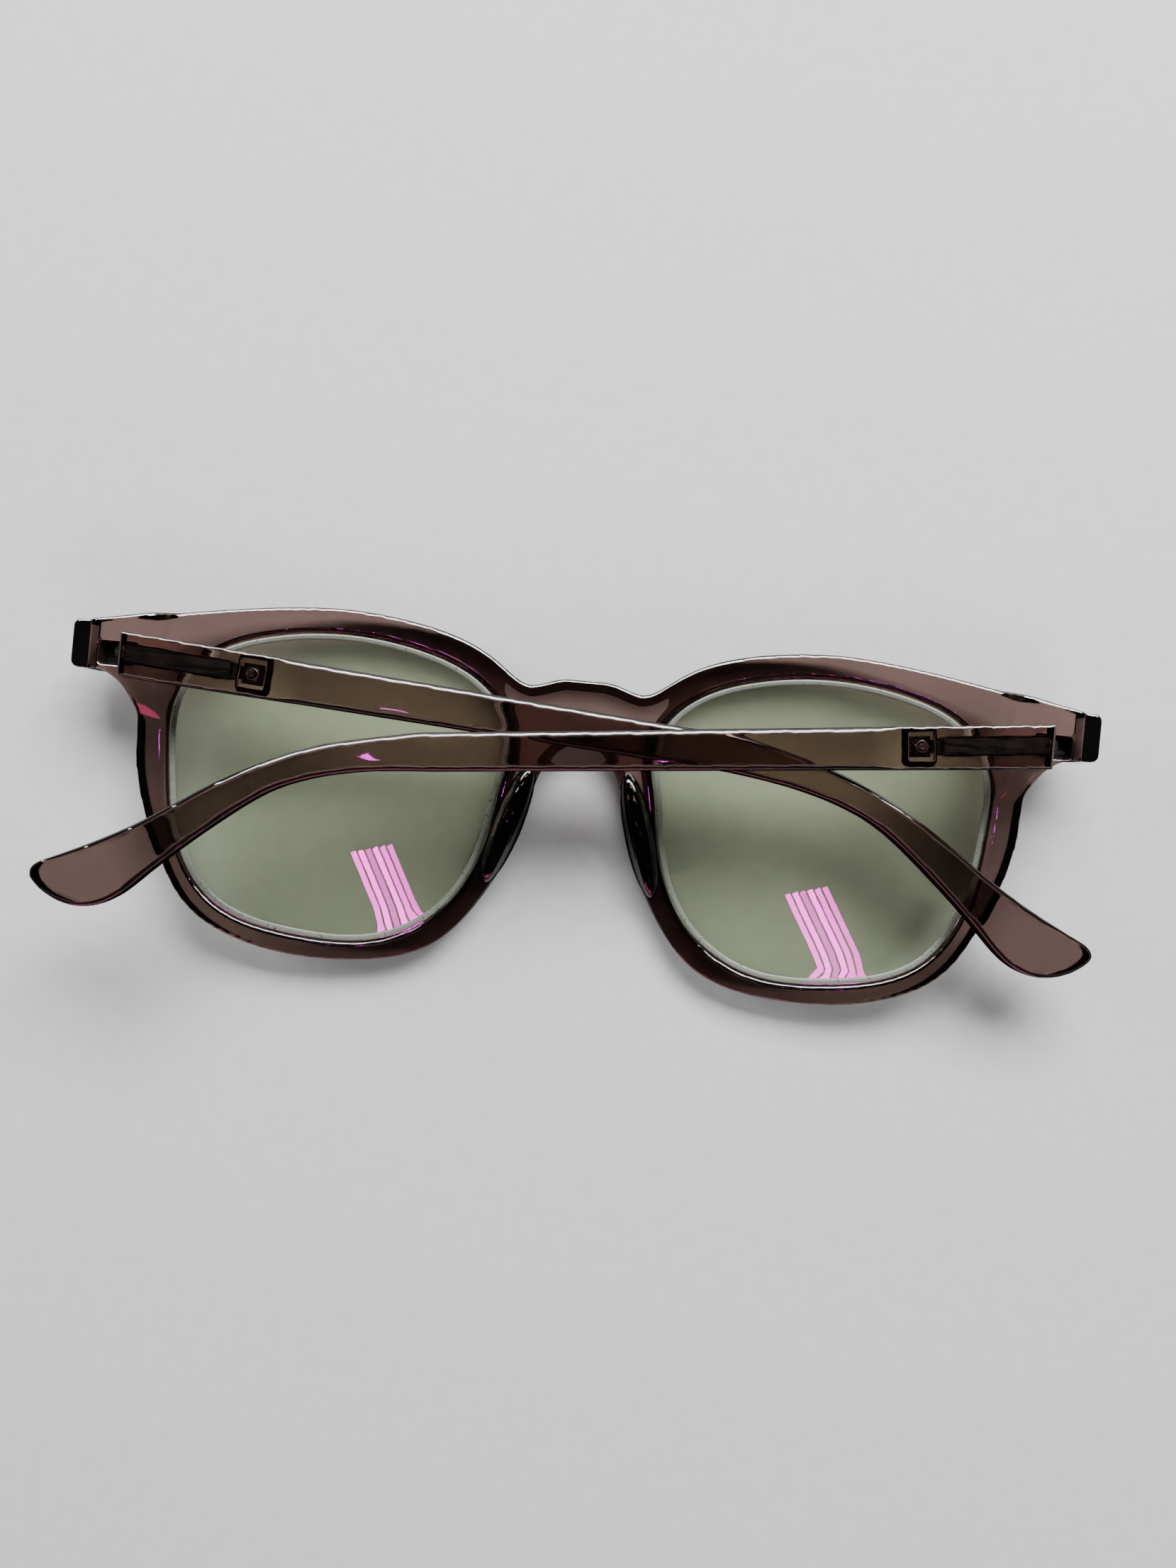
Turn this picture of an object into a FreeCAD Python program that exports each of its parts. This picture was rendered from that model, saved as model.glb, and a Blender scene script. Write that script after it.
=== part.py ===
"""Eyeglasses frame in clear plastic, lying face down with both temples folded.

Millimetres. +Z points up from the surface that the front lies on, so the back of
the front and the outer faces of the folded temples look up. +Y points to the
browline and +X to the wearer's right. The origin is under the middle of the front,
on the surface. Each side has a hinge with a spring box: the middle knuckle slides
in the box on a rod, against a compression spring.
"""
import FreeCAD, Part
import math
import os

Vector = FreeCAD.Vector

# Front: outline of the right half, mirrored for the left half.
BROW_LINE = [(0, 17.85), (4.2, 17.65), (8.3, 16.6), (10.3, 17.5), (13, 19.5), (18.3, 22.2),
             (26, 24.0), (35, 24.65), (43.2, 24.0), (53.3, 22.3), (67.4, 19.3)]
LOWER_LINE = [(67.4, 12.55), (65.2, 12.4), (63.3, 11.3), (61.6, 8.6), (60.9, 2.35),
              (59.4, -5.25), (56.7, -12.1), (52.6, -18.6), (44, -23.3), (31.1, -24.6),
              (18.8, -21.5), (10.6, -11.2), (7.2, -3.0), (5.3, 4.9), (0, 9.0)]
LENS_OPENING = [(10.4, 4.9), (11.8, 13.0), (15.6, 16.7), (23.5, 19.9), (33.2, 21.15),
                (44.5, 19.8), (52.4, 16.2), (56.6, 9.7), (56.9, 2.2), (54.8, -9.8),
                (49.5, -17.6), (37.6, -21.6), (25.1, -20.95), (16.7, -15.1), (12.1, -4.7)]
OPENING_TURN = -1         # the opening's points run clockwise
FLAT_HALF = 12.0          # half width of the flat middle of the front
BOW_RADIUS = 252.0        # the front bends back at this radius outside the flat middle
RIM_THICKNESS = 4.0
FRONT_FLOOR = -1.0        # cutting blocks start below the surface
FRONT_CEILING = 20.0      # and end above the back

# End pieces, which carry the hinges.
END_X = 67.4              # where the plastic ends and the black trim begins
TRIM_X = 69.7             # outer end of the black trim
END_TOP = 19.3
END_BOTTOM = 12.5
TRIM_ROUND = 1.0
TRIM_INSET = 0.1          # the trim is this much narrower than the end piece
RAMP_START = 55.5         # the back begins to rise to the end piece here
RAMP_END = 61.2
RAMP_SLOPE = 0.2
RAMP_PULL = 3.0           # length of the tangents at the ramp's ends
RAMP_SEAM = 0.05          # the ramp starts this far inside the rim's back
WEDGE_START = 2.5         # up the rim, the end piece begins to thicken here
WEDGE_END = END_BOTTOM + 0.6
WEDGE_SLOPE = 1 / 3
WEDGE_PULL = 9.0
WEDGE_SEAM = 0.02         # the wedge ends this far above the end piece's back

# Lenses: a spherical shell with a thin tongue in the rim's groove.
LENS_CENTRE = (33.8, -0.4)
LENS_RADIUS = 140.0
LENS_THICKNESS = 2.0
LENS_APEX_DEPTH = 0.1     # the apex stands this far behind the rim's front
LENS_GAP = 0.12           # between the lens body and the opening
TONGUE_THICKNESS = 1.0
GROOVE_DEPTH = 0.8

# Hinge: axis along Y. Each hinge sits where its end piece was drilled for it.
HINGE_X = 62.3
HINGE_Y = {"left": 14.95, "right": 14.25}
HINGE_Z = 10.95
BARREL_RADIUS = 1.3
PIN_RADIUS = 0.55
PIN_CLEARANCE = 0.05
STACK_HALF = 1.4          # half height of the three knuckles
MIDDLE_HALF = 0.6         # half height of the middle knuckle
KNUCKLE_GAP = 0.05
HEAD_RADIUS = 0.95
HEAD_HEIGHT = 0.45
POCKET_HALF = 1.55
POCKET_LOW_X = -2.1       # pocket in the end piece, from the axis
POCKET_HIGH_X = 3.7
POCKET_DEPTH = 1.95       # below the axis
LEAF_THICKNESS = 0.5
LEAF_GAP = 0.1            # between the leaf's edges and the pocket
LEAF_LOW_X = -1.9
LEAF_HIGH_X = 3.5
STEM_HALF = 1.1           # half width of what joins a knuckle to the plate
STEM_TOP = -0.5
FOOT_LOW_X = 0.3
FOOT_HIGH_X = 3.1
FOOT_HALF = 1.1
FOOT_DEPTH = 1.3
BUTT_OFFSET = 0.65        # from the axis to the temple's end
BACK_OFFSET = 0.6         # from the axis to the back of the end piece

# Temple, drawn flat: s runs along it from the axis, h across it.
TEMPLE_INNER = 1.45       # from the axis to the inner face
TEMPLE_THICKNESS = 3.65
TEMPLE_START = (-4.0, 2.7)
TEMPLE_TOP = [(84, 2.45), (91, 1.2), (98, -0.35), (104, -2.5), (112, -6.4), (121.7, -12.1),
              (127.5, -14.9), (133.6, -17.5)]
TEMPLE_TIP = [(133.6, -17.5), (134.9, -19.0), (134.1, -20.4)]
TEMPLE_BOTTOM = [(134.1, -20.4), (131, -22.45), (128.5, -23.05), (125.9, -22.75),
                 (123.2, -21.45), (119.5, -18.35), (113.4, -13.35), (108.3, -9.55),
                 (103.3, -6.45), (98.3, -4.6), (92, -3.3), (82, -2.5)]
TEMPLE_END = (-4.0, -3.25)
BEND_START = (84.0, -0.2)                # the ends were bent by hand from here
BEND = {"left": 0.0, "right": 4.95}      # degrees up from the common outline
BEND_REACH = {"left": 1.0, "right": 0.935}    # what the bend leaves of the end's length
DROOP = {"left": 4.0, "right": 6.0}      # degrees below the hinge's normal
FOLD = {"left": 1.7, "right": 2.2}       # degrees that the left one dips below level when
                                         # folded, and the right one rises above it

# Spring box in the inner face of each temple.
BOX_START = 0.95
BOX_END = 15.0
BOX_HALF = 1.05
BOX_DEPTH = 2.2
ROD_T = TEMPLE_INNER + 1.12   # from the axis to the rod, across the temple
ROD_RADIUS = 0.3
ROD_CLEARANCE = 0.06
ARM_LOW_X = -0.4
ARM_GAP = 0.13            # between the arm and the box
ARM_RISE = 0.78           # of the arm past the rod's centre
CAVITY_RADIUS = 0.78
CAVITY_START = 1.95
CAVITY_END = 14.2
STOP_START = 11.4
STOP_LENGTH = 0.9
STOP_RADIUS = 0.7
SPRING_WIRE = 0.28
SPRING_DIAMETER = 1.04
SPRING_TURNS = 12
SPRING_GAP = 0.03
TONGUE_DEPTH = 0.5
TONGUE_HALF = 0.9
TONGUE_LAP = 0.5          # of the tongue into the box and into the plate
PLATE_START = 16.4
PLATE_LENGTH = 3.2
PLATE_HALF = 1.4
PLATE_MARGIN = 0.5        # open space along the temple, between the plate and its pocket
PLATE_SIDE_MARGIN = 0.9   # and across it
PLATE_POCKET_DEPTH = 2.0
BOX_SCREW_RADIUS = 1.0
BOX_SCREW_ROUND = 0.5
BOX_SCREW_TIP = 0.5
BOX_SCREW_BITE = 0.9
BOX_SCREW_S = PLATE_START + PLATE_LENGTH / 2
SLOT_WIDTH = 0.3
SLOT_DEPTH = 0.2

# Nose pads.
PAD_CENTRE = (9.3, -3.2)
PAD_HALF = (9.2, 2.15, 3.5)
PAD_ANGLE = -73.5
PAD_HEIGHT = 3.7

REACH = 40.0              # half size of cutting blocks
SIDES = ("left", "right")


def spline_edge(points):
    """A smooth edge through points."""
    curve = Part.BSplineCurve()
    curve.interpolate(Points=[Vector(x, y, 0) for x, y in points])
    return curve.toShape()


def closed_curve(points):
    """A smooth closed curve through points."""
    curve = Part.BSplineCurve()
    curve.interpolate(Points=[Vector(x, y, 0) for x, y in points], PeriodicFlag=True)
    return curve


def opening_wire(offset=0):
    """The lens opening of the right side, moved out by offset."""
    curve = closed_curve(LENS_OPENING)
    points = []
    for x, y in LENS_OPENING:
        tangent = curve.tangent(curve.parameter(Vector(x, y, 0)))[0]
        points.append((x + tangent.y * offset * OPENING_TURN, y - tangent.x * offset * OPENING_TURN))
    return Part.Wire([closed_curve(points).toShape()])


def line(a, b):
    return Part.makeLine(Vector(*a, 0), Vector(*b, 0))


def mirrored(shape):
    """The same shape on the other side of the YZ plane."""
    return shape.mirror(Vector(0, 0, 0), Vector(1, 0, 0))


def box(low, high):
    """A block between two corners."""
    size = [h - l for l, h in zip(low, high)]
    return Part.makeBox(*size, Vector(*low))


def cylinder(radius, start, end):
    """A round bar between two points."""
    a = Vector(*start)
    run = Vector(*end) - a
    return Part.makeCylinder(radius, run.Length, a, run)


def prism(wire, low, high):
    """A wire in the XY plane, as a solid from low to high."""
    face = Part.Face(wire)
    face.translate(Vector(0, 0, low))
    return face.extrude(Vector(0, 0, high - low))


def bow(x):
    """Height of the front's outer face above the surface."""
    run = max(abs(x) - FLAT_HALF, 0)
    return BOW_RADIUS - math.sqrt(BOW_RADIUS ** 2 - run ** 2)


def back_level():
    return HINGE_Z + BACK_OFFSET


# ---------------------------------------------------------------- front

def across(points):
    """Points from the middle out, and their mirror images, from left to right."""
    return [(-x, y) for x, y in reversed(points) if x > 0] + points


def front_outline():
    """The outline of the whole front."""
    brow = across(BROW_LINE)
    lower = across(LOWER_LINE[::-1])
    edges = [spline_edge(brow), line(brow[-1], lower[-1]), spline_edge(lower[::-1]),
             line(lower[0], brow[0])]
    return Part.Wire(edges)


def bow_points(offset):
    """End, middle and start of the bent stretch, offset behind the outer face."""
    radius = BOW_RADIUS - offset
    reach = TRIM_X + 1
    points = []
    for x in (FLAT_HALF, (FLAT_HALF + reach) / 2, reach):
        z = BOW_RADIUS - math.sqrt(radius ** 2 - (x - FLAT_HALF) ** 2)
        points.append(Vector(x, -REACH, z))
    return points


def bow_edges(offset):
    """The bent line across the front, and its two ends."""
    start, middle, end = bow_points(offset)
    flip = [Vector(-p.x, p.y, p.z) for p in (start, middle, end)]
    right = Part.Arc(start, middle, end).toShape()
    left = Part.Arc(flip[2], flip[1], flip[0]).toShape()
    flat = Part.makeLine(flip[0], start)
    return [left, flat, right], (flip[2], end)


def rim_band():
    """Everything between the front's outer face and the back of the rims."""
    outer, outer_ends = bow_edges(0)
    inner, inner_ends = bow_edges(RIM_THICKNESS)
    sides = [Part.makeLine(a, b) for a, b in zip(outer_ends, inner_ends)]
    wire = Part.Wire(Part.__sortEdges__(outer + inner + sides))
    return Part.Face(wire).extrude(Vector(0, 2 * REACH, 0))


def under_ramp(start, end, start_slope, end_slope, corners, run):
    """The space beside a smooth ramp, closed through corners and extruded along run."""
    ramp = Part.BSplineCurve()
    ramp.interpolate(Points=[start, end], InitialTangent=start_slope, FinalTangent=end_slope)
    points = [end] + corners + [start]
    edges = [ramp.toShape()] + [Part.makeLine(a, b) for a, b in zip(points, points[1:])]
    return Part.Face(Part.Wire(edges)).extrude(run)


def end_band():
    """The thicker end piece on the right, with a ramp up from the rim."""
    reach = TRIM_X + 1
    start = Vector(RAMP_START, -REACH, bow(RAMP_START) + RIM_THICKNESS - RAMP_SEAM)
    end = Vector(RAMP_END, -REACH, back_level())
    corners = [Vector(reach, -REACH, back_level()), Vector(reach, -REACH, bow(reach) + 1),
               Vector(RAMP_START, -REACH, bow(RAMP_START) + 1)]
    level = Vector(RAMP_PULL, 0, 0)
    rising = Vector(RAMP_PULL, 0, RAMP_PULL * RAMP_SLOPE)
    block = under_ramp(start, end, rising, level, corners,
                       Vector(0, 2 * REACH, 0))
    return block.common(end_wedge())


def end_wedge():
    """Space under a slope, so that the end piece thins out down the rim."""
    x = RAMP_START - 1
    start = Vector(x, WEDGE_START, bow(RAMP_START) + RIM_THICKNESS / 2)
    end = Vector(x, WEDGE_END, back_level() + WEDGE_SEAM)
    corners = [Vector(x, END_TOP, back_level() + 1), Vector(x, REACH, back_level() + 1),
               Vector(x, REACH, -1), Vector(x, WEDGE_START, -1)]
    level = Vector(0, WEDGE_PULL, 0)
    rising = Vector(0, WEDGE_PULL, WEDGE_PULL * WEDGE_SLOPE)
    return under_ramp(start, end, rising, level, corners,
                      Vector(REACH, 0, 0))


def front_blank():
    """The front before the lenses and the hinges are let in."""
    outline = prism(front_outline(), FRONT_FLOOR, FRONT_CEILING)
    body = outline.common(rim_band())
    thick = outline.common(end_band())
    body = body.fuse([thick, mirrored(thick)]).removeSplitter()
    opening = prism(opening_wire(), FRONT_FLOOR, FRONT_CEILING)
    return body.cut([opening, mirrored(opening)])


def sideways_sphere(radius, centre):
    """A sphere with its poles along Y, clear of the lens."""
    ball = Part.makeSphere(radius)
    ball.rotate(Vector(0, 0, 0), Vector(1, 0, 0), 90)
    ball.translate(centre)
    return ball


def lens_shell(offset, outer, inner):
    """A spherical shell, trimmed to the opening's outline moved out by offset."""
    x, y = LENS_CENTRE
    tilt = math.asin((x - FLAT_HALF) / BOW_RADIUS)
    apex = Vector(x, y, bow(x) + LENS_APEX_DEPTH)
    centre = apex + Vector(-math.sin(tilt), 0, math.cos(tilt)) * LENS_RADIUS
    ball = sideways_sphere(LENS_RADIUS - outer, centre)
    hollow = sideways_sphere(LENS_RADIUS - inner, centre)
    return prism(opening_wire(offset), FRONT_FLOOR, FRONT_CEILING).common(ball).cut(hollow)


def lens():
    """The lens of the right side: its body, and the tongue in the rim's groove."""
    body = lens_shell(-LENS_GAP, 0, LENS_THICKNESS)
    start = (LENS_THICKNESS - TONGUE_THICKNESS) / 2
    tongue = lens_shell(GROOVE_DEPTH, start, start + TONGUE_THICKNESS)
    return body.fuse(tongue).removeSplitter()


def end_trim():
    """The black block on the outer end of the right end piece."""
    block = box((END_X, END_BOTTOM + TRIM_INSET, 0), (TRIM_X, END_TOP - TRIM_INSET, back_level()))
    middle = (END_X + TRIM_X) / 2
    corners = [e for e in block.Edges if e.BoundBox.ZLength > 1 and e.CenterOfMass.x > middle]
    block = block.makeFillet(TRIM_ROUND, corners)
    outer, (left_end, right_end) = bow_edges(0)
    rise = Vector(0, 0, FRONT_CEILING)
    top = Part.makePolygon([right_end, right_end + rise, left_end + rise, left_end])
    wire = Part.Wire(Part.__sortEdges__(outer + top.Edges))
    above = Part.Face(wire).extrude(Vector(0, 2 * REACH, 0))
    return block.common(above)


def nose_pad():
    """The pad on the nasal rim of the right side: a rounded block on the rim's back."""
    matrix = FreeCAD.Matrix()
    matrix.scale(*PAD_HALF)
    pad = Part.makeSphere(1).transformGeometry(matrix)
    pad.rotate(Vector(0, 0, 0), Vector(0, 0, 1), PAD_ANGLE)
    pad.translate(Vector(*PAD_CENTRE, PAD_HEIGHT))
    return pad.cut(rim_band())


# ---------------------------------------------------------------- hinge
# Drawn around the axis for the right side: Y runs along the axis and Z points up.

def at_hinge(shape, side):
    """Moves a shape drawn around the hinge axis to the hinge of one side."""
    moved = shape.copy()
    moved.translate(Vector(HINGE_X, HINGE_Y[side], HINGE_Z))
    return mirrored(moved) if side == "left" else moved


def hinge_pocket():
    """The space that the hinge takes in the end piece."""
    return box((POCKET_LOW_X, -POCKET_HALF, -POCKET_DEPTH), (POCKET_HIGH_X, POCKET_HALF, BACK_OFFSET + 1))


def leaf_foot():
    """The anchor of the front leaf, sunk in the end piece."""
    return box((FOOT_LOW_X, -FOOT_HALF, -POCKET_DEPTH - FOOT_DEPTH),
               (FOOT_HIGH_X, FOOT_HALF, -POCKET_DEPTH))


def front_leaf():
    """A plate with two knuckles and a foot."""
    half = POCKET_HALF - LEAF_GAP
    plate = box((LEAF_LOW_X, -half, -POCKET_DEPTH), (LEAF_HIGH_X, half, LEAF_THICKNESS - POCKET_DEPTH))
    solids = [leaf_foot()]
    for low, high in ((-STACK_HALF, -MIDDLE_HALF - KNUCKLE_GAP),
                      (MIDDLE_HALF + KNUCKLE_GAP, STACK_HALF)):
        solids.append(cylinder(BARREL_RADIUS, (0, low, 0), (0, high, 0)))
        solids.append(box((-STEM_HALF, low, LEAF_THICKNESS / 2 - POCKET_DEPTH),
                          (STEM_HALF, high, STEM_TOP)))
    return plate.fuse(solids).removeSplitter().cut(screw_body())


def screw_body():
    """The pin of the hinge and its head, with no slot."""
    seat = STACK_HALF - HEAD_HEIGHT
    shaft = cylinder(PIN_RADIUS, (0, -STACK_HALF, 0), (0, seat, 0))
    head = cylinder(HEAD_RADIUS, (0, seat, 0), (0, STACK_HALF, 0))
    return shaft.fuse(head).removeSplitter()


def hinge_screw():
    """The pin of the hinge, slotted on its upper end."""
    return screw_body().cut(box((-HEAD_RADIUS, STACK_HALF - SLOT_DEPTH, -SLOT_WIDTH / 2),
                                (HEAD_RADIUS, STACK_HALF + 1, SLOT_WIDTH / 2)))


# ---------------------------------------------------------------- temple
# Drawn flat: X runs along the temple from the hinge axis, Y across it, and Z
# through its thickness, with the inner face below.

def bent(points, side):
    """Points of a temple's end, after the bend of this side."""
    start_s, start_h = BEND_START
    angle = math.radians(BEND[side])
    moved = []
    for s, h in points:
        run = (s - start_s) * (BEND_REACH[side] if s > start_s else 1)
        rise = h - start_h
        moved.append((start_s + run * math.cos(angle) - rise * math.sin(angle),
                      start_h + run * math.sin(angle) + rise * math.cos(angle)))
    return moved


def temple_wire(side):
    """The outline of a temple."""
    top, tip, bottom = [bent(points, side) for points in (TEMPLE_TOP, TEMPLE_TIP, TEMPLE_BOTTOM)]
    return Part.Wire([line(TEMPLE_START, top[0]), spline_edge(top), spline_edge(tip),
                      spline_edge(bottom), line(bottom[-1], TEMPLE_END),
                      line(TEMPLE_END, TEMPLE_START)])


def spring_box():
    """The metal box: a bored bar, and a plate that a screw holds."""
    inner = TEMPLE_INNER
    thin = inner + TONGUE_DEPTH
    bar = box((BOX_START, -BOX_HALF, inner), (BOX_END, BOX_HALF, inner + BOX_DEPTH))
    tongue = box((BOX_END - TONGUE_LAP, -TONGUE_HALF, inner),
                 (PLATE_START + TONGUE_LAP, TONGUE_HALF, thin))
    plate = box((PLATE_START, -PLATE_HALF, inner), (PLATE_START + PLATE_LENGTH, PLATE_HALF, thin))
    bore = cylinder(CAVITY_RADIUS, (CAVITY_START, 0, ROD_T), (CAVITY_END, 0, ROD_T))
    rod_hole = cylinder(ROD_RADIUS + ROD_CLEARANCE, (0, 0, ROD_T), (CAVITY_START + 1, 0, ROD_T))
    screw_hole = cylinder(BOX_SCREW_RADIUS, (BOX_SCREW_S, 0, 0), (BOX_SCREW_S, 0, thin + 1))
    return bar.fuse([tongue, plate]).removeSplitter().cut([bore, rod_hole, screw_hole])


def box_screw_tip():
    """The thin end of the screw, and the hole that it bites."""
    return cylinder(BOX_SCREW_TIP, (BOX_SCREW_S, 0, TEMPLE_INNER + TONGUE_DEPTH),
                    (BOX_SCREW_S, 0, TEMPLE_INNER + PLATE_POCKET_DEPTH + BOX_SCREW_BITE))


def box_screw():
    """A shoulder screw with a rounded end, through the plate into the temple."""
    inner = TEMPLE_INNER
    deep = inner + PLATE_POCKET_DEPTH
    body = cylinder(BOX_SCREW_RADIUS, (BOX_SCREW_S, 0, inner), (BOX_SCREW_S, 0, deep))
    rim = [e for e in body.Edges if e.BoundBox.ZMin > deep - BOX_SCREW_ROUND]
    screw = body.makeFillet(BOX_SCREW_ROUND, rim).fuse(box_screw_tip()).removeSplitter()
    return screw.cut(box((BOX_SCREW_S - BOX_SCREW_RADIUS, -SLOT_WIDTH / 2, 0),
                         (BOX_SCREW_S + BOX_SCREW_RADIUS, SLOT_WIDTH / 2, inner + SLOT_DEPTH)))


def temple(side):
    """The plastic temple, cut square at its hinge end."""
    inner = TEMPLE_INNER
    solid = prism(temple_wire(side), inner, inner + TEMPLE_THICKNESS)
    slot = box((TEMPLE_START[0] - 1, -BOX_HALF, 0), (BOX_END, BOX_HALF, inner + BOX_DEPTH))
    groove = box((BOX_END - TONGUE_LAP, -TONGUE_HALF, 0),
                 (PLATE_START + TONGUE_LAP, TONGUE_HALF, inner + TONGUE_DEPTH))
    half = PLATE_HALF + PLATE_SIDE_MARGIN
    pocket = box((PLATE_START - PLATE_MARGIN, -half, 0),
                 (PLATE_START + PLATE_LENGTH + PLATE_MARGIN, half, inner + PLATE_POCKET_DEPTH))
    solid = drooped(solid.cut([slot, groove, pocket, box_screw_tip()]), side)
    return solid.cut(box((-REACH, -REACH, -REACH), (BUTT_OFFSET, REACH, REACH)))


def drooped(shape, side):
    """Turns a flat shape down about the hinge point, by the droop of this side."""
    moved = shape.copy()
    moved.rotate(Vector(0, 0, 0), Vector(0, 0, 1), -DROOP[side])
    return moved


def carriage(side):
    """The middle knuckle, its arm and the rod that slides in the spring box."""
    knuckle = cylinder(BARREL_RADIUS, (0, -MIDDLE_HALF, 0), (0, MIDDLE_HALF, 0))
    arm = box((ARM_LOW_X, -MIDDLE_HALF, 0), (BOX_START - ARM_GAP, MIDDLE_HALF, ROD_T + ARM_RISE))
    rod = cylinder(ROD_RADIUS, (0, 0, ROD_T), (STOP_START + STOP_LENGTH, 0, ROD_T))
    solid = knuckle.fuse([arm, drooped(rod, side)]).removeSplitter()
    return solid.cut(cylinder(PIN_RADIUS + PIN_CLEARANCE, (0, -STACK_HALF, 0), (0, STACK_HALF, 0)))


def spring_stop():
    """The nut on the rod's end."""
    end = STOP_START + STOP_LENGTH
    nut = cylinder(STOP_RADIUS, (STOP_START, 0, ROD_T), (end, 0, ROD_T))
    return nut.cut(cylinder(ROD_RADIUS, (0, 0, ROD_T), (end + 1, 0, ROD_T)))


def spring():
    """A compression spring round the rod, between the box and the stop."""
    inset = SPRING_WIRE / 2 + SPRING_GAP
    start = CAVITY_START + inset
    height = STOP_START - inset - start
    radius = SPRING_DIAMETER / 2
    helix = Part.makeHelix(height / SPRING_TURNS, height, radius)
    section = Part.Wire([Part.makeCircle(SPRING_WIRE / 2, Vector(radius, 0, 0), Vector(0, 1, 0))])
    solid = Part.Wire(helix.Edges).makePipeShell([section], True, True)
    solid.rotate(Vector(0, 0, 0), Vector(0, 1, 0), 90)
    solid.translate(Vector(start, 0, ROD_T))
    return solid


def folded(shape, side):
    """Moves a shape drawn flat to its folded place on one side."""
    sign = -1 if side == "left" else 1
    moved = shape.copy() if side == "left" else mirrored(shape)
    moved.rotate(Vector(0, 0, 0), Vector(0, 1, 0), FOLD[side])
    moved.translate(Vector(sign * HINGE_X, HINGE_Y[side], HINGE_Z))
    return moved


def temple_parts(side):
    """Every piece of one temple, in its folded place."""
    pieces = {"temple": temple(side), "hinge_carriage": carriage(side)}
    straight = {"spring_stop": spring_stop(), "hinge_spring": spring(),
                "hinge_housing": spring_box(), "housing_screw": box_screw()}
    for name, shape in straight.items():
        pieces[name] = drooped(shape, side)
    return {side + "_" + name: folded(shape, side) for name, shape in pieces.items()}


def front_parts():
    """The front, and every piece fixed to it."""
    front = front_blank()
    nodes = {}
    for side in SIDES:
        place = mirrored if side == "left" else Part.Shape.copy
        side_lens = place(lens())
        for cut in (at_hinge(hinge_pocket(), side), at_hinge(leaf_foot(), side), side_lens):
            front = front.cut(cut)
        nodes[side + "_lens"] = side_lens
        nodes[side + "_end_trim"] = place(end_trim())
        nodes[side + "_nose_pad"] = place(nose_pad())
        nodes[side + "_hinge_front_leaf"] = at_hinge(front_leaf(), side)
        nodes[side + "_hinge_screw"] = at_hinge(hinge_screw(), side)
    nodes["front_frame"] = front
    return nodes


def main():
    """Builds every node and writes its file."""
    os.makedirs("parts", exist_ok=True)
    nodes = front_parts()
    for side in SIDES:
        nodes.update(temple_parts(side))
    for name, shape in nodes.items():
        print(name, len(shape.Solids), shape.isValid(), round(shape.Volume, 3))
        shape.exportStep("parts/" + name + ".step")


main()
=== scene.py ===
"""Looks of the clear plastic eyeglasses: polished plastic, lenses, metal and studio.

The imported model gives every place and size. The plastic pieces are copies of their
CAD nodes with their edges rounded, as by polishing.
"""
import math

import bmesh
import bpy
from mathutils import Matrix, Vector


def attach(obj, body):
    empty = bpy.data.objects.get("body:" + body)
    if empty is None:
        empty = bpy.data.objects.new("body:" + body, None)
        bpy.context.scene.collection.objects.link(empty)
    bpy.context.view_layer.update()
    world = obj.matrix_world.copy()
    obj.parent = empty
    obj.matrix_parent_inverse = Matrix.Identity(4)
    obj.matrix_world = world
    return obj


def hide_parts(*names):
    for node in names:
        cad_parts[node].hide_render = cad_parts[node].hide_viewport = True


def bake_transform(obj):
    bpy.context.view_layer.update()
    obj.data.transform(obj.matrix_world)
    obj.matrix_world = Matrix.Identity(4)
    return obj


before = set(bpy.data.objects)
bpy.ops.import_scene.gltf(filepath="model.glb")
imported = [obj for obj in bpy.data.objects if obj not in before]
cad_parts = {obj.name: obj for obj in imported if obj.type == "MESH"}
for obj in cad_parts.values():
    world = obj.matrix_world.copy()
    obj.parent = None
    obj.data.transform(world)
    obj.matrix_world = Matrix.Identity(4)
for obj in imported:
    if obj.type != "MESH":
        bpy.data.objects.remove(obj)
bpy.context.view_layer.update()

MM = 0.001
SIDES = ("left", "right")

# Rounding of the plastic copies.
VOXEL = 0.2 * MM              # grain of the copies
WELD = 0.002 * MM             # vertices closer than this are one
SMOOTH_FACTOR = 0.5
FINE_PASSES = 10              # smoothing passes everywhere
FRONT_PASSES = 30             # more of them inside a piece's rounded zone
TEMPLE_PASSES = 70

# The rounded zones keep clear of the hinges.
ZONE_BLEND = 4 * MM           # the width over which a zone fades in
FRONT_END = 66 * MM           # where the front's zone ends, on either side
POCKET_START = 60 * MM        # and where it ends beside a hinge pocket
POCKET_LEVEL = 14.6 * MM      # the pocket's middle along Y
POCKET_HALF = 3 * MM          # and half its height
BOX_END = 41 * MM             # where a temple is past its spring box
TIP_ENDS = {"left": 68.5 * MM, "right": -66.2 * MM}      # just short of a temple's tip

# Camera: straight above, turned a little.
CAMERA_PLACE = Vector((1.4, 3.35, 170.0)) * MM
CAMERA_TURN = math.radians(-5.4)
CAMERA_LENS = 27.0
CAMERA_SENSOR = 36.0
CLIP_START = 0.01

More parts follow.
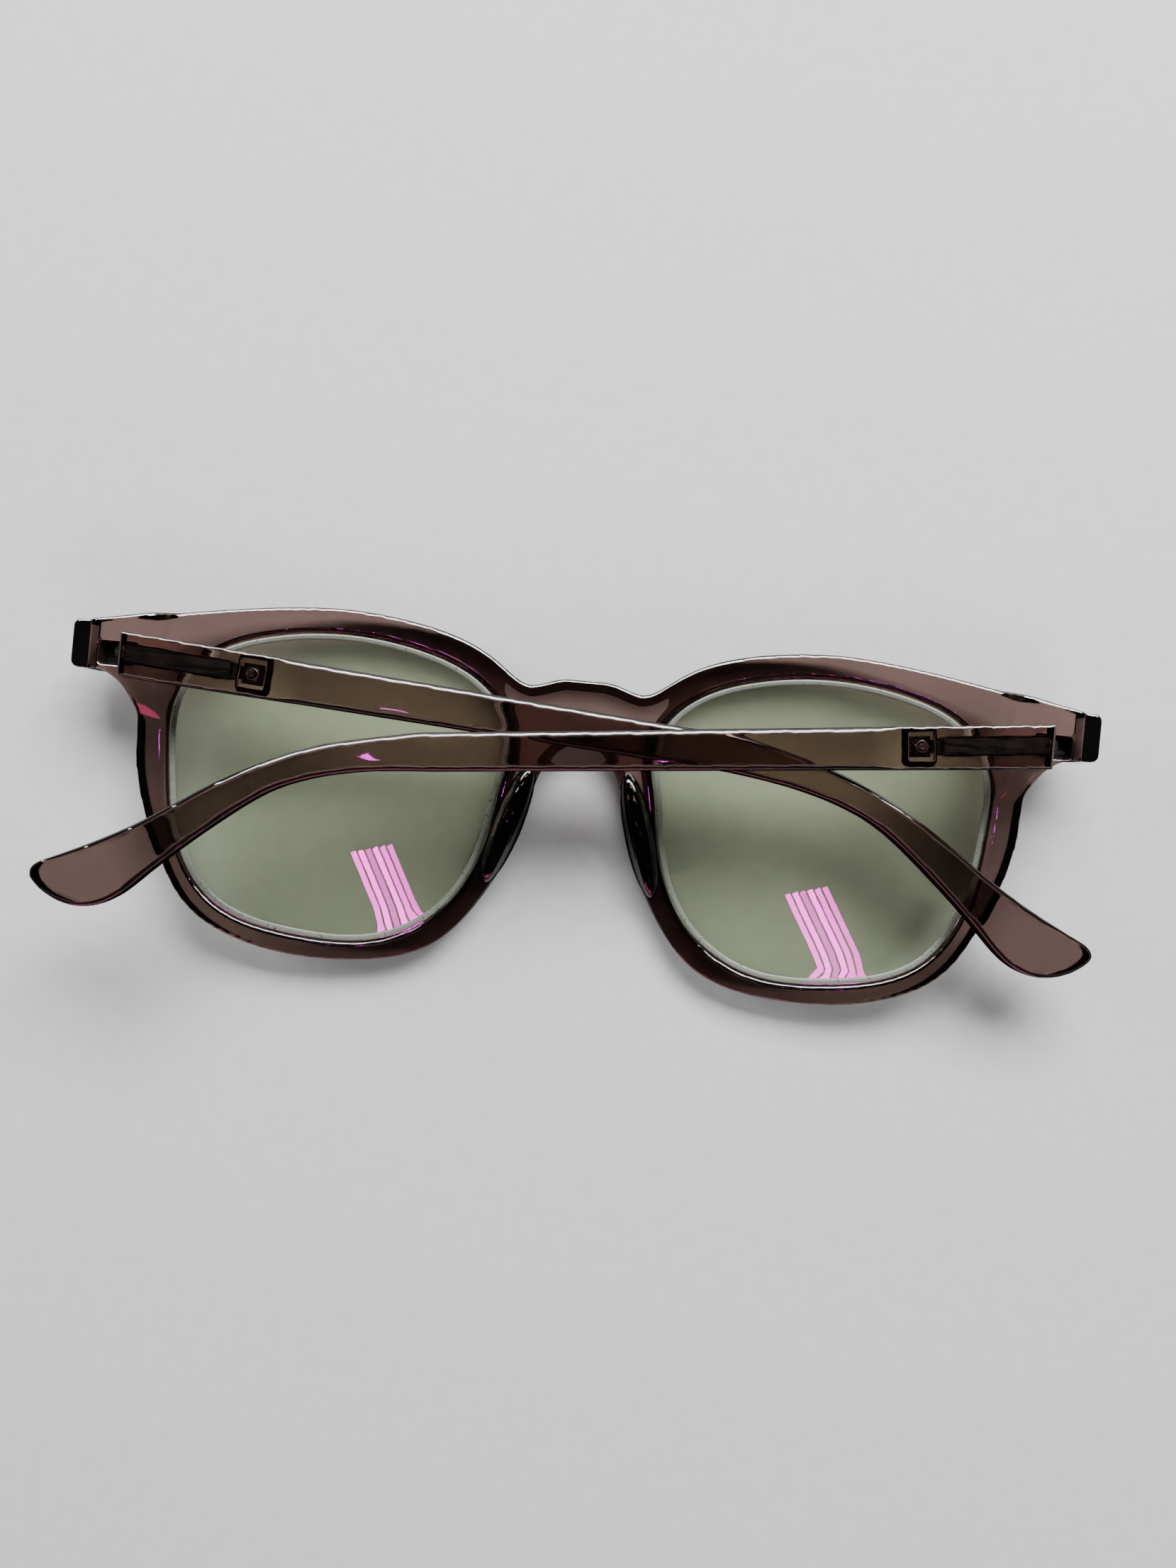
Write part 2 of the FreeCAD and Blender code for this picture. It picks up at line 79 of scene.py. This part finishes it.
# Colours, as linear RGB.
# FRONT and TEMPLE tint one plastic: the front's darker tint is painted shade, the temples' lighter
# tint painted light
FRONT = (0.21, 0.131, 0.116)
TEMPLE = (0.30, 0.19, 0.175)
# painted shade: the temples darker towards their tips, for the shadow under them
TEMPLE_TIP_SHADE = (0.14, 0.088, 0.08)
# painted light: the temples lighter towards their hinge ends, against the shade where they lie over
# the front
TEMPLE_ROOT_LIGHT = (0.52, 0.36, 0.33)
PLASTIC_EDGE_SHADE = (0.006, 0.0035, 0.003)    # painted shade on the temples' rounded edges and side walls
FRONT_EDGE_SHADE = (0.02, 0.012, 0.011)        # and on the front's
# painted shade: the nose pads are the frame's clear plastic, tinted near black for the darkness seen
# through their thickness
PAD_SHADE = (0.02, 0.012, 0.012)
# painted shade on the nose pads' rounded edges and side walls
PAD_EDGE_SHADE = (0.004, 0.002, 0.002)
# the lenses' faint green, darkened by painted shade for the shadowed floor seen through them
LENS_TINT_AND_SHADE = (0.60, 0.60, 0.51)
COATING = (1.0, 0.0, 0.8)
BEVEL = (0.36, 0.40, 0.34)
BLACK = (0.0012, 0.001, 0.0011)
DARK_METAL = (0.035, 0.032, 0.032)
SCREW_METAL = (0.16, 0.15, 0.15)
SPRING_STEEL = (0.42, 0.42, 0.43)
PAPER = ((0.60, 0.61, 0.61), (0.64, 0.65, 0.65))

# Where a temple's painted shade at its tip and painted light at its hinge end come in, from the
# middle plane outwards.
TIP_SHADE_REACH = (34 * MM, 56 * MM)
ROOT_LIGHT_REACH = (37 * MM, 43 * MM)
TIP_WAY = {"left": 1, "right": -1}       # each temple's tip lies on the other side

# The upright part of the normal: where the painted edge shade is full, and where it is gone.
FRONT_TILT = (0.45, 0.68)
TEMPLE_TILT = (0.94, 0.995)
WALL_TILT = (0.3, 0.6)                   # and where the gloss is gone, and where it is full
FULL_GLOSS = 0.5

# Refraction.
PLASTIC_IOR = 1.49
LENS_IOR = 1.5
GROUND_IOR = 1.3

NOISE_SPAN = (0.3, 0.7)                  # the part of a noise's range that is put to use
BRUSH_SPREAD = 0.15                      # how far brush lines roughen a metal

# Band round the back edge of each lens: insets and lifts of its section, in mm.
BEVEL_STEPS = 220
BEVEL_SECTION = ((0.05, 0.01), (0.3, 0.05), (0.6, 0.05),
                 (0.85, 0.01), (0.85, -0.02), (0.05, -0.02))
BACK_FACING = 0.8                        # a back face's normal has more Z than this
WALL_FACING = 0.5                        # and a rim face's has less
LOOP_POINTS = 20                         # the back edge has more points than this

# The window that the lenses mirror, once for each lens, as strips between blind cords.
WINDOW_HEIGHT = 180 * MM
WINDOW_CENTRES = ((-44.3 * MM, 3.1 * MM), (34.8 * MM, 3.2 * MM))
WINDOW_LONG = Vector((-3.8, 6.4)) * MM
WINDOW_SHORT = Vector((-3.3, -0.9)) * MM
WINDOW_STRIPS = 6
WINDOW_RADIANCE = 60.0
WINDOW_COLOUR = (1.0, 0.04, 0.9)
STRIP_FILL = 0.75
STRIP_SWING = 0.5                        # how much the strips differ in brightness
STRIP_PHASE = 2.4

# The room round the object.
ROOM_COLOUR = (0.9, 0.95, 1.0)
ROOM_STRENGTH = 0.04
FLOOR_SIZE = 3.0
BLUSH_COLOUR = (1, 0.08, 0.25)


# ---------------------------------------------------------------- materials

def new_material(name):
    """An empty Principled material, with its nodes, links and shader."""
    material = bpy.data.materials.new(name)
    material.use_nodes = True
    nodes = material.node_tree.nodes
    return material, nodes, material.node_tree.links, nodes["Principled BSDF"]


def add_noise(nodes, links, scale, detail=4.0, stretch=(1, 1, 1)):
    """Noise in object space, at scale per metre, and its output."""
    place = nodes.new("ShaderNodeTexCoord")
    mapping = nodes.new("ShaderNodeMapping")
    mapping.inputs["Scale"].default_value = stretch
    noise = nodes.new("ShaderNodeTexNoise")
    noise.inputs["Scale"].default_value = scale
    noise.inputs["Detail"].default_value = detail
    links.new(place.outputs["Object"], mapping.inputs["Vector"])
    links.new(mapping.outputs["Vector"], noise.inputs["Vector"])
    return noise.outputs["Fac"]


def add_range(nodes, links, source, low, high):
    """Maps a noise to low..high."""
    ramp = nodes.new("ShaderNodeMapRange")
    ramp.inputs["From Min"].default_value = NOISE_SPAN[0]
    ramp.inputs["From Max"].default_value = NOISE_SPAN[1]
    ramp.inputs["To Min"].default_value = low
    ramp.inputs["To Max"].default_value = high
    links.new(source, ramp.inputs["Value"])
    return ramp.outputs["Result"]


def add_bump(nodes, links, shader, source, strength, distance):
    """Lets a source raise and lower the surface a little."""
    bump = nodes.new("ShaderNodeBump")
    bump.inputs["Strength"].default_value = strength
    bump.inputs["Distance"].default_value = distance
    links.new(source, bump.inputs["Height"])
    links.new(bump.outputs["Normal"], shader.inputs["Normal"])


def add_tint(nodes, links, source, dark, light):
    """A colour that drifts between two close tints."""
    ramp = nodes.new("ShaderNodeValToRGB")
    ramp.color_ramp.elements[0].position = NOISE_SPAN[0]
    ramp.color_ramp.elements[0].color = (*dark, 1)
    ramp.color_ramp.elements[1].position = NOISE_SPAN[1]
    ramp.color_ramp.elements[1].color = (*light, 1)
    links.new(source, ramp.inputs["Fac"])
    return ramp.outputs["Color"]


def add_colour(nodes, links, shader, source, dark, light):
    """The same, as the colour of a shader."""
    links.new(add_tint(nodes, links, source, dark, light), shader.inputs["Base Color"])


def add_upright(nodes, links):
    """How far the surface faces straight up or down on the lying object."""
    place = nodes.new("ShaderNodeTexCoord")
    split = nodes.new("ShaderNodeSeparateXYZ")
    upright = nodes.new("ShaderNodeMath")
    upright.operation = "ABSOLUTE"
    links.new(place.outputs["Normal"], split.inputs["Vector"])
    links.new(split.outputs["Z"], upright.inputs["Value"])
    return upright.outputs["Value"]


def add_step(nodes, links, source, limits, top):
    """A smooth step of a source between two limits, from 0 to top."""
    step = nodes.new("ShaderNodeMapRange")
    step.interpolation_type = "SMOOTHSTEP"
    step.inputs["From Min"].default_value = limits[0]
    step.inputs["From Max"].default_value = limits[1]
    step.inputs["To Max"].default_value = top
    links.new(source, step.inputs["Value"])
    return step.outputs["Result"]


def add_painted_end(nodes, links, middle, tint, way, reach):
    """Goes over to a painted end tint of a temple, far from the middle plane on one side: painted
    shade at the tip, painted light at the hinge end.
    """
    place = nodes.new("ShaderNodeTexCoord")
    split = nodes.new("ShaderNodeSeparateXYZ")
    far = nodes.new("ShaderNodeMath")
    far.operation = "MULTIPLY"
    far.inputs[1].default_value = way
    mix = nodes.new("ShaderNodeMix")
    mix.data_type = "RGBA"
    mix.inputs["B"].default_value = (*tint, 1)
    links.new(place.outputs["Object"], split.inputs["Vector"])
    links.new(split.outputs["X"], far.inputs[0])
    links.new(add_step(nodes, links, far.outputs["Value"], reach, top=1.0), mix.inputs["Factor"])
    links.new(middle, mix.inputs["A"])
    return mix.outputs["Result"]


def shaded(colour, share):
    """A share of a colour."""
    return tuple(c * share for c in colour)


def clear_plastic(name, colour, edge, tilt, painted_ends=()):
    """Polished clear plastic with painted shade on its side walls and rounded edges, where it turns
    dark and opaque.
    """
    material, nodes, links, shader = new_material(name)
    shader.inputs["IOR"].default_value = PLASTIC_IOR
    upright = add_upright(nodes, links)
    drift = add_noise(nodes, links, scale=90, detail=3, stretch=(1, 2.5, 1))
    mix = nodes.new("ShaderNodeMix")
    mix.data_type = "RGBA"
    mix.inputs["A"].default_value = (*edge, 1)
    middle = add_tint(nodes, links, drift, dark=shaded(colour, 0.86), light=colour)
    for tint, way, reach in painted_ends:
        middle = add_painted_end(nodes, links, middle, tint, way, reach)
    links.new(middle, mix.inputs["B"])
    # painted shade: away from upright faces the colour goes to the edge tint and the plastic stops
    # being clear
    clear = add_step(nodes, links, upright, tilt, top=1.0)
    links.new(clear, mix.inputs["Factor"])
    links.new(clear, shader.inputs["Transmission Weight"])
    links.new(mix.outputs["Result"], shader.inputs["Base Color"])
    gloss = add_step(nodes, links, upright, WALL_TILT, top=FULL_GLOSS)
    links.new(gloss, shader.inputs["Specular IOR Level"])
    marks = add_noise(nodes, links, scale=900, detail=6)
    links.new(add_range(nodes, links, marks, low=0.01, high=0.05), shader.inputs["Roughness"])
    add_bump(nodes, links, shader, drift, strength=0.15, distance=0.2 * MM)
    return material


def lens_glass():
    """Clear lens, faintly green and darkened by painted shade, with a magenta anti-reflection
    coating.
    """
    material, nodes, links, shader = new_material("lens_glass")
    shader.inputs["Transmission Weight"].default_value = 1.0
    shader.inputs["IOR"].default_value = LENS_IOR
    shader.inputs["Specular Tint"].default_value = (*COATING, 1)
    haze = add_noise(nodes, links, scale=60, detail=2)
    add_colour(nodes, links, shader, haze, dark=shaded(LENS_TINT_AND_SHADE, 0.98), light=LENS_TINT_AND_SHADE)
    wipes = add_noise(nodes, links, scale=700, detail=5, stretch=(0.1, 1, 1))
    links.new(add_range(nodes, links, wipes, low=0.0, high=0.008), shader.inputs["Roughness"])
    return material


def ground_glass():
    """The lenses' ground edge: pale, half clear, with fine grinding marks."""
    material, nodes, links, shader = new_material("ground_bevel")
    shader.inputs["Transmission Weight"].default_value = 0.6
    shader.inputs["IOR"].default_value = GROUND_IOR
    grain = add_noise(nodes, links, scale=1800, detail=4)
    add_colour(nodes, links, shader, grain, dark=shaded(BEVEL, 0.9), light=BEVEL)
    links.new(add_range(nodes, links, grain, low=0.25, high=0.45), shader.inputs["Roughness"])
    return material


def metal(name, colour, rough, brush):
    """Brushed metal: fine lines along X, with worn lighter patches."""
    material, nodes, links, shader = new_material(name)
    shader.inputs["Metallic"].default_value = 1.0
    lines = add_noise(nodes, links, scale=2500, detail=3, stretch=(0.04, 1, 1))
    wear = add_noise(nodes, links, scale=500, detail=5)
    add_colour(nodes, links, shader, wear, dark=colour, light=shaded(colour, 1.8))
    roughness = add_range(nodes, links, lines, low=rough, high=rough + BRUSH_SPREAD)
    links.new(roughness, shader.inputs["Roughness"])
    add_bump(nodes, links, shader, lines, strength=brush, distance=0.02 * MM)
    return material


def black_plastic():
    """Solid black, polished, with faint hairlines."""
    material, nodes, links, shader = new_material("black_plastic")
    shader.inputs["Coat Weight"].default_value = 0.25
    tone = add_noise(nodes, links, scale=300, detail=4)
    add_colour(nodes, links, shader, tone, dark=BLACK, light=shaded(BLACK, 2))
    hairs = add_noise(nodes, links, scale=1500, detail=4, stretch=(1, 0.1, 1))
    links.new(add_range(nodes, links, hairs, low=0.04, high=0.12), shader.inputs["Roughness"])
    return material


def floor_paper():
    """Pale matt paper."""
    material, nodes, links, shader = new_material("floor_paper")
    grain = add_noise(nodes, links, scale=400, detail=5)
    add_colour(nodes, links, shader, grain, dark=PAPER[0], light=PAPER[1])
    shader.inputs["Roughness"].default_value = 0.9
    shader.inputs["Specular IOR Level"].default_value = 0.1
    return material


# ---------------------------------------------------------------- pieces

def paint(piece, material):
    """Gives a piece one material."""
    piece.data.materials.clear()
    piece.data.materials.append(material)


def add_smooth(piece, passes, group=""):
    """Smoothing passes, on one vertex group or on the whole piece."""
    smooth = piece.modifiers.new("polish", "SMOOTH")
    smooth.factor = SMOOTH_FACTOR
    smooth.iterations = passes
    smooth.vertex_group = group


def shade_smooth(mesh):
    """Smooth shading on every face."""
    for polygon in mesh.polygons:
        polygon.use_smooth = True


def applied(piece):
    """A new mesh of a piece with its modifiers applied, shaded smooth."""
    bpy.context.view_layer.update()
    ready = piece.evaluated_get(bpy.context.evaluated_depsgraph_get())
    result = bpy.data.meshes.new_from_object(ready)
    shade_smooth(result)
    return result


def add_object(data, name):
    """A new object in the scene for a mesh, a light or a camera."""
    item = bpy.data.objects.new(name, data)
    bpy.context.collection.objects.link(item)
    return item


def welded(mesh):
    """An editable copy of a mesh, with vertices at one place joined."""
    shape = bmesh.new()
    shape.from_mesh(mesh)
    bmesh.ops.remove_doubles(shape, verts=shape.verts, dist=WELD)
    return shape


def front_zone(point):
    """How far inside the rounded zone of the front a point is."""
    beside_pocket = abs(point.y - POCKET_LEVEL) < POCKET_HALF
    return (POCKET_START if beside_pocket else FRONT_END) - abs(point.x)


def left_zone(point):
    """The same for the left temple, between its spring box and its tip."""
    return min(point.x + BOX_END, TIP_ENDS["left"] - point.x)


def right_zone(point):
    """The same for the right temple."""
    return min(BOX_END - point.x, point.x - TIP_ENDS["right"])


def polished(node, name, zone, passes):
    """A copy of a CAD node with its edges rounded, and rounded more inside its zone."""
    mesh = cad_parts[node].data.copy()
    shape = welded(mesh)
    shape.to_mesh(mesh)
    shape.free()
    draft = add_object(mesh, name + "_draft")
    remesh = draft.modifiers.new("grain", "REMESH")
    remesh.mode = "VOXEL"
    remesh.voxel_size = VOXEL
    grain = applied(draft)
    bpy.data.objects.remove(draft)
    draft = add_object(grain, name + "_grain")
    add_smooth(draft, FINE_PASSES)
    if zone:
        group = draft.vertex_groups.new(name="rounded")
        for vertex in grain.vertices:
            inside = zone(vertex.co) / ZONE_BLEND
            if inside > 0:
                group.add([vertex.index], min(inside, 1), "REPLACE")
        add_smooth(draft, passes, group.name)
    result = applied(draft)
    bpy.data.objects.remove(draft)
    return add_object(result, name)


def make_plastic():
    """The front, the temples, the nose pads and the end trims."""
    front = clear_plastic("clear_front", FRONT, FRONT_EDGE_SHADE, FRONT_TILT)
    temples = []
    for side in SIDES:
        painted_ends = ((TEMPLE_TIP_SHADE, TIP_WAY[side], TIP_SHADE_REACH), (TEMPLE_ROOT_LIGHT, -TIP_WAY[side], ROOT_LIGHT_REACH))
        temples.append(clear_plastic("clear_" + side + "_temple", TEMPLE, PLASTIC_EDGE_SHADE,
                                     TEMPLE_TILT, painted_ends))
    # the nose pads' painted shade
    dark = clear_plastic("pad_painted_shade", PAD_SHADE, PAD_EDGE_SHADE, FRONT_TILT)
    black = black_plastic()
    pieces = [("front_frame", "front", front, "clear_frame", front_zone, FRONT_PASSES),
              ("left_temple", "left_temple", temples[0], "clear_frame", left_zone, TEMPLE_PASSES),
              ("right_temple", "right_temple", temples[1], "clear_frame", right_zone, TEMPLE_PASSES)]
    for side in SIDES:
        pieces.append((side + "_nose_pad", "front", dark, "pad", None, 0))
        pieces.append((side + "_end_trim", "front", black, "black_trim", None, 0))
    for node, body, material, slot, zone, passes in pieces:
        piece = polished(node, node + "_polished", zone, passes)
        paint(piece, material)
        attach(piece, body)
        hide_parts(node)


def back_edge(lens):
    """The points round the back edge of a lens, in order."""
    shape = welded(lens.data)
    loops = []
    edges = [e for e in shape.edges if len(e.link_faces) == 2
             and max(f.normal.z for f in e.link_faces) > BACK_FACING
             and min(abs(f.normal.z) for f in e.link_faces) < WALL_FACING]
    while edges:
        edge = edges.pop()
        loop = [edge.verts[0], edge.verts[1]]
        while True:
            following = [e for e in loop[-1].link_edges if e in edges]
            if not following:
                break
            edges.remove(following[0])
            loop.append(following[0].other_vert(loop[-1]))
        loops.append([vertex.co.copy() for vertex in loop])
    shape.free()
    highest = max((loop for loop in loops if len(loop) > LOOP_POINTS),
                  key=lambda loop: sum(point.z for point in loop) / len(loop))
    return highest[:-1]


def even_points(loop, count):
    """Evenly spaced points round a closed line."""
    closed = loop + loop[:1]
    lengths = [(b - a).length for a, b in zip(closed, closed[1:])]
    step = sum(lengths) / count
    points = []
    place = 0.0
    for a, b, length in zip(closed, closed[1:], lengths):
        while place < length and len(points) < count:
            points.append(a.lerp(b, place / length))
            place += step
        place -= length
    return points


def make_bevel(side, material):
    """The ground bevel round the back of a lens: a thin band that follows its edge."""
    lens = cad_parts[side + "_lens"]
    points = even_points(back_edge(lens), BEVEL_STEPS)
    middle = sum(points, Vector()) / len(points)
    shape = bmesh.new()
    rows = []
    for i, point in enumerate(points):
        along = points[(i + 1) % len(points)] - points[i - 1]
        inward = Vector((-along.y, along.x, 0)).normalized()
        if inward.dot(middle - point) < 0:
            inward.negate()
        row = []
        for inset, lift in BEVEL_SECTION:
            target = point + inward * inset * MM
            near = lens.closest_point_on_mesh(target)[1]
            row.append(shape.verts.new(near + Vector((0, 0, lift * MM))))
        rows.append(row)
    size = len(BEVEL_SECTION)
    for i, row in enumerate(rows):
        following = rows[(i + 1) % len(rows)]
        for j in range(size):
            k = (j + 1) % size
            shape.faces.new((row[j], row[k], following[k], following[j]))
    bmesh.ops.recalc_face_normals(shape, faces=shape.faces)
    mesh = bpy.data.meshes.new(side + "_lens_bevel")
    shape.to_mesh(mesh)
    shape.free()
    shade_smooth(mesh)
    bevel = add_object(mesh, side + "_lens_bevel")
    paint(bevel, material)
    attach(bevel, "front")


def make_bevels():
    """The bevels of both lenses."""
    ground = ground_glass()
    for side in SIDES:
        make_bevel(side, ground)


def make_springs(steel):
    """Each hinge spring, between the rod's nut and the box's end, as a steel copy of its node in
    world space.
    """
    for side in SIDES:
        node = side + "_hinge_spring"
        coil = add_object(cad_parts[node].data.copy(), side + "_spring_coil")
        paint(coil, steel)
        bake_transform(coil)
        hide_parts(node)


def dress_nodes():
    """Materials of the CAD nodes that keep their shape, and of the springs."""
    glass = lens_glass()
    dark = metal("blackened_metal", DARK_METAL, rough=0.22, brush=0.2)
    screw = metal("screw_metal", SCREW_METAL, rough=0.15, brush=0.1)
    spring = metal("spring_steel", SPRING_STEEL, rough=0.2, brush=0.3)
    looks = {"lens": glass, "hinge_front_leaf": dark, "hinge_screw": screw,
             "hinge_housing": dark, "housing_screw": screw, "hinge_spring": spring,
             "hinge_carriage": dark, "spring_stop": screw}
    for side in SIDES:
        for part, material in looks.items():
            paint(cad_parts[side + "_" + part], material)
    make_springs(spring)


# ---------------------------------------------------------------- studio

def make_floor():
    """The pale paper that the eyeglasses lie on."""
    bpy.ops.mesh.primitive_plane_add(size=FLOOR_SIZE, location=(0, 0, 0))
    floor = bpy.context.object
    floor.name = "floor"
    paint(floor, floor_paper())


def make_camera():
    """The camera above the lying frame."""
    data = bpy.data.cameras.new("camera")
    data.lens = CAMERA_LENS
    data.sensor_width = CAMERA_SENSOR
    data.clip_start = CLIP_START
    camera = add_object(data, "camera")
    camera.location = CAMERA_PLACE
    camera.rotation_euler = (0, 0, -CAMERA_TURN)
    bpy.context.scene.camera = camera


def area_light(name, place, size, radiance, colour=(1, 1, 1), diffuse=True, glossy=True):
    """A soft rectangular light that faces the origin; without diffuse, it only shows as a
    reflection, and without glossy it never does."""
    data = bpy.data.lights.new(name, "AREA")
    data.shape = "RECTANGLE"
    data.size, data.size_y = size
    data.energy = radiance * math.pi * size[0] * size[1]
    data.color = colour
    light = add_object(data, name)
    light.location = place
    light.rotation_euler = (-Vector(place)).to_track_quat("-Z", "Y").to_euler()
    light.visible_diffuse = diffuse
    light.visible_transmission = diffuse
    light.visible_glossy = glossy
    light.visible_camera = False
    return light


def make_window(name, centre):
    """A slanted window as parallel strips that face down, for the reflection in one lens."""
    middle = Vector((*centre, WINDOW_HEIGHT))
    along = WINDOW_LONG.normalized()
    across = Vector((along.y, -along.x))
    width = abs(WINDOW_SHORT.dot(across)) / WINDOW_STRIPS
    turn = math.atan2(along.y, along.x)
    for i in range(WINDOW_STRIPS):
        shift = WINDOW_SHORT * ((i + 0.5) / WINDOW_STRIPS - 0.5)
        radiance = WINDOW_RADIANCE * (1 + STRIP_SWING * math.sin(STRIP_PHASE * i))
        size = (WINDOW_LONG.length, width * STRIP_FILL)
        place = middle + Vector((*shift, 0))
        strip = area_light(name + "_" + str(i), place, size, radiance,
                           colour=WINDOW_COLOUR, diffuse=False)
        strip.rotation_euler = (0, 0, turn)


def make_lights():
    """A dim room with its soft lights, and the two windows that the lenses mirror."""
    world = bpy.data.worlds.new("studio")
    world.use_nodes = True
    background = world.node_tree.nodes["Background"]
    background.inputs["Color"].default_value = (*ROOM_COLOUR, 1)
    background.inputs["Strength"].default_value = ROOM_STRENGTH
    bpy.context.scene.world = world
    area_light("key", place=(0.1, 0.5, 0.5), size=(0.6, 0.3), radiance=22)
    area_light("side", place=(-0.8, 0.25, 0.35), size=(0.3, 0.3), radiance=14, glossy=False)
    area_light("fill", place=(0.3, -0.6, 0.6), size=(0.4, 0.3), radiance=8, glossy=False)
    area_light("glint", place=(0.0, 0.38, 0.26), size=(0.8, 0.24), radiance=45, diffuse=False)
    area_light("blush", place=(-0.05, -0.4, 0.1), size=(0.4, 0.1), radiance=6,
               colour=BLUSH_COLOUR, diffuse=False)
    for side, centre in zip(SIDES, WINDOW_CENTRES):
        make_window(side + "_window", centre)


make_plastic()
make_bevels()
dress_nodes()
make_floor()
make_camera()
make_lights()
